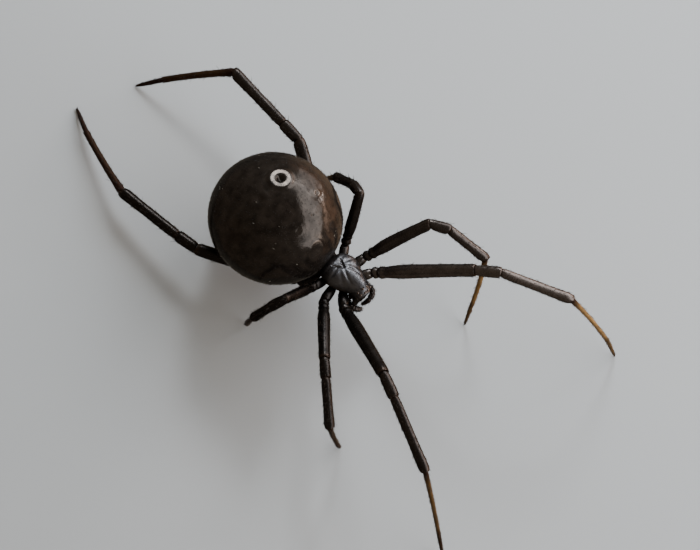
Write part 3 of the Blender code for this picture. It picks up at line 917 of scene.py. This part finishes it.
def abdomen_point(angle, turn, thighs):
    """A point of the abdomen's skin: angle back from the waist, turn around the long axis."""
    flat = sin(angle)
    out = Vector((flat * cos(turn), -cos(angle), flat * sin(turn)))
    x, y, z = out.x * ABDOMEN_SEMI.x, out.y * ABDOMEN_SEMI.y, out.z * ABDOMEN_SEMI.z
    lift = 0.016 * noise(out * 2.4) + 0.01 * noise(out * 5.5 + Vector((3, 1, 2)))
    lift += 0.0035 * noise(out * 15.0)
    if out.z > 0:
        near = exp(-(((x - 1.2) / 1.5) ** 2) - ((y + 1.7) / 1.8) ** 2)
        rough = 0.019 * noise(out * 9.0 + Vector((7, 0, 3))) + 0.008 * noise(out * 21.0)
        lift += near * rough
        for dx, dy, *sizes in DIMPLES:
            far = hypot(x - dx, (y - dy) / max(0.6, out.z))
            lift += dimple(far, *sizes)
    else:
        y += ABDOMEN_LEAN * out.z * out.z
        furrow = exp(-(((out.y + 0.56) / 0.018) ** 2)) * soft((0.55 - abs(out.x)) / 0.2)
        lift -= 0.05 * furrow * soft(-out.z / 0.3)
        lift += 0.05 * exp(-(((out.y + 0.6) / 0.035) ** 2) - (out.x / 0.09) ** 2)
    lift -= 0.1 * exp(-((angle / 0.16) ** 2))
    place = ABDOMEN_CENTRE + Vector((x, y, z)) + out * lift
    for thigh in thighs:
        place = pressed(place, *thigh)
    return place, out


def abdomen_tint(out):
    """Jet black with a brown cast, greyer lung plates and the red hourglass underneath."""
    tint = mix(BLACK, UMBER, 0.5 + 0.5 * noise(out * 2.0))
    if out.z < -0.2:
        x, y = out.x, out.y - 0.1
        lung = exp(-(((abs(out.x) - 0.26) / 0.1) ** 2) - ((out.y + 0.66) / 0.07) ** 2)
        tint = mix(tint, SOFT_BROWN, 0.7 * lung)
        wave = 0.012 * noise(out * 12.0)
        if -0.36 < y < 0.36:
            half = 0.035 + 0.58 * abs(y) * (1.0 if y < 0 else 0.86) + wave
            reach = soft((half - abs(x)) / 0.018) * soft((0.33 - abs(y) + wave) / 0.02)
            tint = mix(tint, RED, reach)
    return tint


def abdomen_shape(thighs):
    rings, around = 190, 260
    steps = [(k / rings, i / around) for k in range(1, rings) for i in range(around)]
    points, tints = [], []
    for back, round_axis in steps + [(0.0, 0.0), (1.0, 0.0)]:
        place, out = abdomen_point(pi * back, tau * round_axis, thighs)
        points.append(place)
        tints.append(abdomen_tint(out))
    shape = Shape()
    shape.add(points, globe_faces(rings - 1, around), tints)
    return shape


def abdomen_bristles(thighs):
    """Sparse short hairs, lying back; a few thicker whitish ones are painted glints."""
    shape = Shape()
    for n in range(5200):
        angle = acos(uniform(-0.99, 0.99))
        turn = uniform(0, tau)
        root, out = abdomen_point(angle, turn, thighs)
        ahead, _ = abdomen_point(angle + 0.01, turn, thighs)
        along = unit(ahead - root)
        along = unit(along + out.cross(along) * uniform(-0.35, 0.35))
        uv = (0.02 + 0.95 * turn / tau, 0.02 + 0.95 * angle / pi)
        # Every ninetieth hair is whitish and thicker: a painted glint.
        tint, thick = (PAINTED_GLINT_TINT, PAINTED_GLINT_HAIR) if n % 90 == 0 else (HAIR_BROWN, FINE_HAIR)
        reach = 0.15 * uniform(0.6, 1.4)
        lift = uniform(0.35, 0.65) if out.z < 0.6 else uniform(0.2, 0.45)
        add_bristle(shape, root, out, along, reach, thick, lift, tint, uv)
    return shape


def spinneret_shape():
    """Collar, six spinnerets and the small tubercle behind them."""
    shape, hair = Shape(), Shape()
    rise = radians(SPINNERET_RISE)
    seat_y = ABDOMEN_SEMI.y * cos(rise) - ABDOMEN_LEAN * sin(rise)
    seat = ABDOMEN_CENTRE + Vector((0.0, seat_y, ABDOMEN_SEMI.z * sin(rise)))
    out = unit(Vector((0.0, 0.55, -0.83)))
    across = Vector((1.0, 0.0, 0.0))
    up = -across.cross(out)
    rows = []
    for k in range(16):
        t = k / 15
        wide = 0.62 - 0.05 * t + 0.02 * sin(t * 20)
        rows.append((seat + out * (-0.32 + 0.46 * t), up, across, wide, wide))
    rows = rounded(rows)
    add_tube(shape, rows, [UNDER_BROWN] * len(rows))
    for side in (-1, 1):
        for shift, height, radius, length in SPINNERETS:
            base = seat + across * side * shift + up * height
            tip = base + out * (0.13 + length) - across * side * 0.1
            radii = (radius, radius * 0.95, radius * 0.48)
            rows = rounded(path_rows([base, base.lerp(tip, 0.5), tip], radii, 24, (0.62,), 0.12))
            add_tube(shape, rows, [mix(SOFT_BROWN, BROWN_BLACK, 0.4)] * len(rows), 20)
            root_bristles(hair, rows, 60, 0.14, TAIL_HAIR, (0.35, 0.97))
    add_ball(shape, seat + up * 0.62 - out * 0.02, (0.16, 0.16, 0.14), UNDER_BROWN, 20, 14)
    return shape, hair


def node(tree, kind, **values):
    made = tree.nodes.new("ShaderNode" + kind)
    for name, value in values.items():
        if name in made.inputs:
            made.inputs[name].default_value = value
        else:
            setattr(made, name, value)
    return made


def set_inputs(made, values):
    for name, value in values.items():
        made.inputs[name].default_value = value


def ranged(tree, source, start, end, low, high, **values):
    """Maps a value from the range start to end into low to high."""
    made = node(tree, "MapRange", **values)
    set_inputs(made, {"From Min": start, "From Max": end, "To Min": low, "To Max": high})
    tree.links.new(source, made.inputs["Value"])
    return made.outputs["Result"]


def new_material(name):
    material = bpy.data.materials.new(name)
    material.use_nodes = True
    tree = material.node_tree
    return material, tree, tree.nodes["Principled BSDF"]


def set_base(tree, shader, strength):
    """A vector node that scales a colour into the shader's base colour."""
    shade = node(tree, "VectorMath", operation="SCALE")
    tree.links.new(strength, shade.inputs["Scale"])
    tree.links.new(shade.outputs["Vector"], shader.inputs["Base Color"])
    return shade.inputs[0]


def cuticle(name, rough, spread, fine, bump, mottling=0.2, level=0.5, coat=0.0, metal=0.0):
    """Chitin: tint from the mesh, mottled, with uneven gloss and a pitted grain of scale fine."""
    material, tree, shader = new_material(name)
    link = tree.links.new
    tint = node(tree, "Attribute", attribute_name="tint")
    place = node(tree, "TexCoord")
    scale = node(tree, "VectorMath", operation="MULTIPLY")
    scale.inputs[1].default_value = (1 / MM,) * 3
    link(place.outputs["Object"], scale.inputs[0])
    patches = node(tree, "TexNoise", Scale=1.7, Detail=4.0, Roughness=0.6)
    grain = node(tree, "TexNoise", Scale=fine, Detail=5.0, Roughness=0.62)
    pits = node(tree, "TexVoronoi", Scale=fine * 0.55)
    for texture in (patches, grain, pits):
        link(scale.outputs["Vector"], texture.inputs["Vector"])
    mottle = ranged(tree, patches.outputs["Fac"], 0.32, 0.68, 1 - mottling, 1 + mottling)
    link(tint.outputs["Color"], set_base(tree, shader, mottle))
    gloss = ranged(tree, grain.outputs["Fac"], 0.0, 1.0, rough - spread, rough + spread)
    link(gloss, shader.inputs["Roughness"])
    relief = node(tree, "Math", operation="ADD")
    link(grain.outputs["Fac"], relief.inputs[0])
    link(ranged(tree, pits.outputs["Distance"], 0.0, 0.35, 0.0, 0.6), relief.inputs[1])
    raised = node(tree, "Bump", Strength=1.0, Distance=bump * MM)
    link(relief.outputs["Value"], raised.inputs["Height"])
    link(raised.outputs["Normal"], shader.inputs["Normal"])
    edge = METAL_EDGE if metal else 1.0
    set_inputs(shader, {"Specular IOR Level": level, "Coat Weight": coat, "Coat Roughness": 0.08})
    set_inputs(shader, {"Metallic": metal, "Specular Tint": (edge, edge, edge, 1.0)})
    return material


def floor_material():
    """An even pale tone with a faint drift."""
    material, tree, shader = new_material("floor")
    drift = node(tree, "TexNoise", Scale=9.0, Detail=3.0)
    strength = ranged(tree, drift.outputs["Fac"], 0.0, 1.0, 0.96, 1.03)
    set_base(tree, shader, strength).default_value = FLOOR_GREY
    set_inputs(shader, {"Roughness": 0.6, "Specular IOR Level": 0.2})
    return material


def build_spider():
    shell = cuticle("shell", 0.37, 0.07, 9.0, 0.003, metal=0.92)
    globe = cuticle("globe", 0.17, 0.05, 9.0, 0.004, 0.4, metal=0.7)
    leg_shell = cuticle("leg_shell", 0.28, 0.08, 12.0, 0.006, metal=0.85)
    shin = cuticle("shin", 0.5, 0.08, 14.0, 0.006, level=0.1, metal=0.35)
    membrane = cuticle("membrane", 0.5, 0.1, 22.0, 0.01)
    lens = cuticle("lens", 0.06, 0.02, 30.0, 0.0005, coat=0.5)
    horn = cuticle("horn", 0.22, 0.06, 30.0, 0.002)
    bristle = cuticle("bristle", 0.38, 0.08, 30.0, 0.001, level=0.3)

    def coat(name, shape, slot):
        build("bristles_" + name, shape, (bristle,), unwrap=True)

    thighs = []
    hairs = {pair: Shape() for pair in "1234"}
    claws = Shape()
    for number, leg in enumerate(POSE):
        skin, hair, hooks = leg_pieces(leg, number)
        nodes = [f"{part}_{leg}" for part in PARTS if part != "trochanter"]
        build(f"leg_{leg}", skin, (leg_shell, membrane, shin), nodes)
        pair = leg[-1]
        hairs[pair].join(hair)
        claws.join(hooks)
        if pair == "4":
            joints, _ = settled_leg(leg)
            thighs.append((joints[1], joints[2], THICKNESS["4"][2] + 0.04))
    for pair, hair in hairs.items():
        coat("legs_" + pair, hair, "leg")
    build("claws", claws, (horn,))
    build("cephalothorax_skin", cephalothorax_shape(), (shell,), ["cephalothorax"])
    coat("carapace", carapace_bristles(), "cephalothorax")
    build("eyes", eye_shape(), (lens,))
    build("waist", pedicel_shape(), (shell,), ["pedicel"])
    fangs, face_hair = Shape(), Shape()
    for side, word in ((1, "left"), (-1, "right")):
        jaw, fang, palp, hair = head_shapes(side, word)
        build(f"jaw_{word}", jaw, (shell,), [f"chelicera_{word}"])
        build(f"feeler_{word}", palp, (leg_shell,), [f"palp_{word}"])
        fangs.join(fang)
        face_hair.join(hair)
    build("fangs", fangs, (horn,))
    coat("face", face_hair, "palp")
    build("abdomen_skin", abdomen_shape(thighs), (globe,), ["abdomen"])
    coat("abdomen", abdomen_bristles(thighs), "abdomen")
    cones, cone_hair = spinneret_shape()
    build("spinneret_group", cones, (leg_shell,), ["spinnerets"])
    coat("spinnerets", cone_hair, "spinnerets")


# The camera: azimuth, elevation and roll in degrees, distance and frame offset in millimetres.
VIEW_AZIMUTH = -70.0
VIEW_ELEVATION = 67.0
VIEW_ROLL = 20.0
VIEW_DISTANCE = 230.0
VIEW_OFFSET = (1.625, 1.125)
LENS_PIXELS = 3680.0
FRAME_PIXELS = 700.0
SENSOR = 36.0
# Directions of the warm glow at the animal's left and of the lamp behind the ring.
WARM_SIDE = (0.891, -0.371, -0.275)
KEY_SIDE = (0.687, 0.418, 0.594)
LIGHT_DISTANCE = 170.0


def view_axes():
    a, e, r = (radians(v) for v in (VIEW_AZIMUTH, VIEW_ELEVATION, VIEW_ROLL))
    back = Vector((sin(a) * cos(e), -cos(a) * cos(e), sin(e)))
    right = Vector((cos(a), sin(a), 0.0))
    up = back.cross(right)
    return cos(r) * right + sin(r) * up, cos(r) * up - sin(r) * right, back


def put(name, data, place, right, up, back):
    """Adds a camera or lamp that looks away from back, with up at its top."""
    thing = new_object(name, data)
    thing.location = (place + SHIFT) * MM
    thing.rotation_mode = "QUATERNION"
    rows = ((right.x, up.x, back.x), (right.y, up.y, back.y), (right.z, up.z, back.z))
    thing.rotation_quaternion = Matrix(rows).to_quaternion()
    return thing


def make_camera():
    right, up, back = view_axes()
    lens = bpy.data.cameras.new("camera")
    lens.sensor_width = SENSOR
    lens.lens = SENSOR * LENS_PIXELS / FRAME_PIXELS
    lens.clip_start = 0.01
    place = back * VIEW_DISTANCE + right * VIEW_OFFSET[0] + up * VIEW_OFFSET[1]
    bpy.context.scene.camera = put("camera", lens, place, right, up, back)


def make_light(name, towards, spread, radiance, colour, rise=0.0, shape="DISK"):
    """A soft panel facing the abdomen: half angles of its sides and a lift up the frame."""
    away = unit(Vector(towards))
    size = [2 * LIGHT_DISTANCE * tan(radians(a)) * MM for a in spread]
    data = bpy.data.lights.new(name, "AREA")
    data.shape = shape
    data.size = size[0]
    fill = pi / 4
    if shape == "RECTANGLE":
        data.size_y = size[1]
        fill = 1.0
    data.energy = radiance * pi * size[0] * size[1] * fill
    data.color = colour
    tall = square_to(view_axes()[1], away)
    lift = LIGHT_DISTANCE * tan(radians(rise))
    place = ABDOMEN_CENTRE + away * LIGHT_DISTANCE + tall * lift
    put(name, data, place, tall.cross(away), tall, away)


def beside(angle):
    """Direction turned from the camera to the right of the frame."""
    right, _, back = view_axes()
    return cos(radians(angle)) * back + sin(radians(angle)) * right


def make_floor():
    mesh = bpy.data.meshes.new("floor")
    half = 1.5
    corners = [(-half, -half, 0), (half, -half, 0), (half, half, 0), (-half, half, 0)]
    mesh.from_pydata(corners, [], [(0, 1, 2, 3)])
    mesh.materials.append(floor_material())
    floor = new_object("floor", mesh)
    floor.visible_glossy = False


def make_sky():
    """An even dim sky with a warm glow on one side."""
    world = bpy.data.worlds.new("world")
    world.use_nodes = True
    tree = world.node_tree
    background = tree.nodes["Background"]
    place = node(tree, "TexCoord")
    toward = node(tree, "VectorMath", operation="DOT_PRODUCT")
    toward.inputs[1].default_value = WARM_SIDE
    tree.links.new(place.outputs["Generated"], toward.inputs[0])
    glow = ranged(tree, toward.outputs["Value"], 0.6, 1, 0, 1, interpolation_type="SMOOTHSTEP")
    sky = node(tree, "Mix", data_type="RGBA")
    set_inputs(sky, {"A": SKY, "B": WARM_SKY})
    tree.links.new(glow, sky.inputs["Factor"])
    tree.links.new(sky.outputs["Result"], background.inputs["Color"])
    bpy.context.scene.world = world


def make_lights():
    panel = "RECTANGLE"
    make_light("window", beside(65), (15, 52), 4.6, DAYLIGHT, 28, panel)
    make_light("window_top", (0.955, -0.01, 0.3), (19, 12), 3.6, DAYLIGHT, 0, panel)
    make_light("strip", beside(95), (2.4, 18), 6.0, (1.0, 0.84, 0.74), 10, panel)
    make_light("key", KEY_SIDE, (6, 6), 30.0, (0.88, 0.95, 1.0))
    make_light("halo", KEY_SIDE, (14, 14), 4.5, (0.66, 0.84, 1.0))
    make_light("low", (0.91, -0.349, 0.224), (5, 5), 24.0, (0.92, 0.96, 1.0))
    make_light("foot", (0.23, -0.969, 0.103), (8, 6), 9.0, (1.0, 0.93, 0.86))


build_spider()
make_camera()
make_floor()
make_sky()
make_lights()
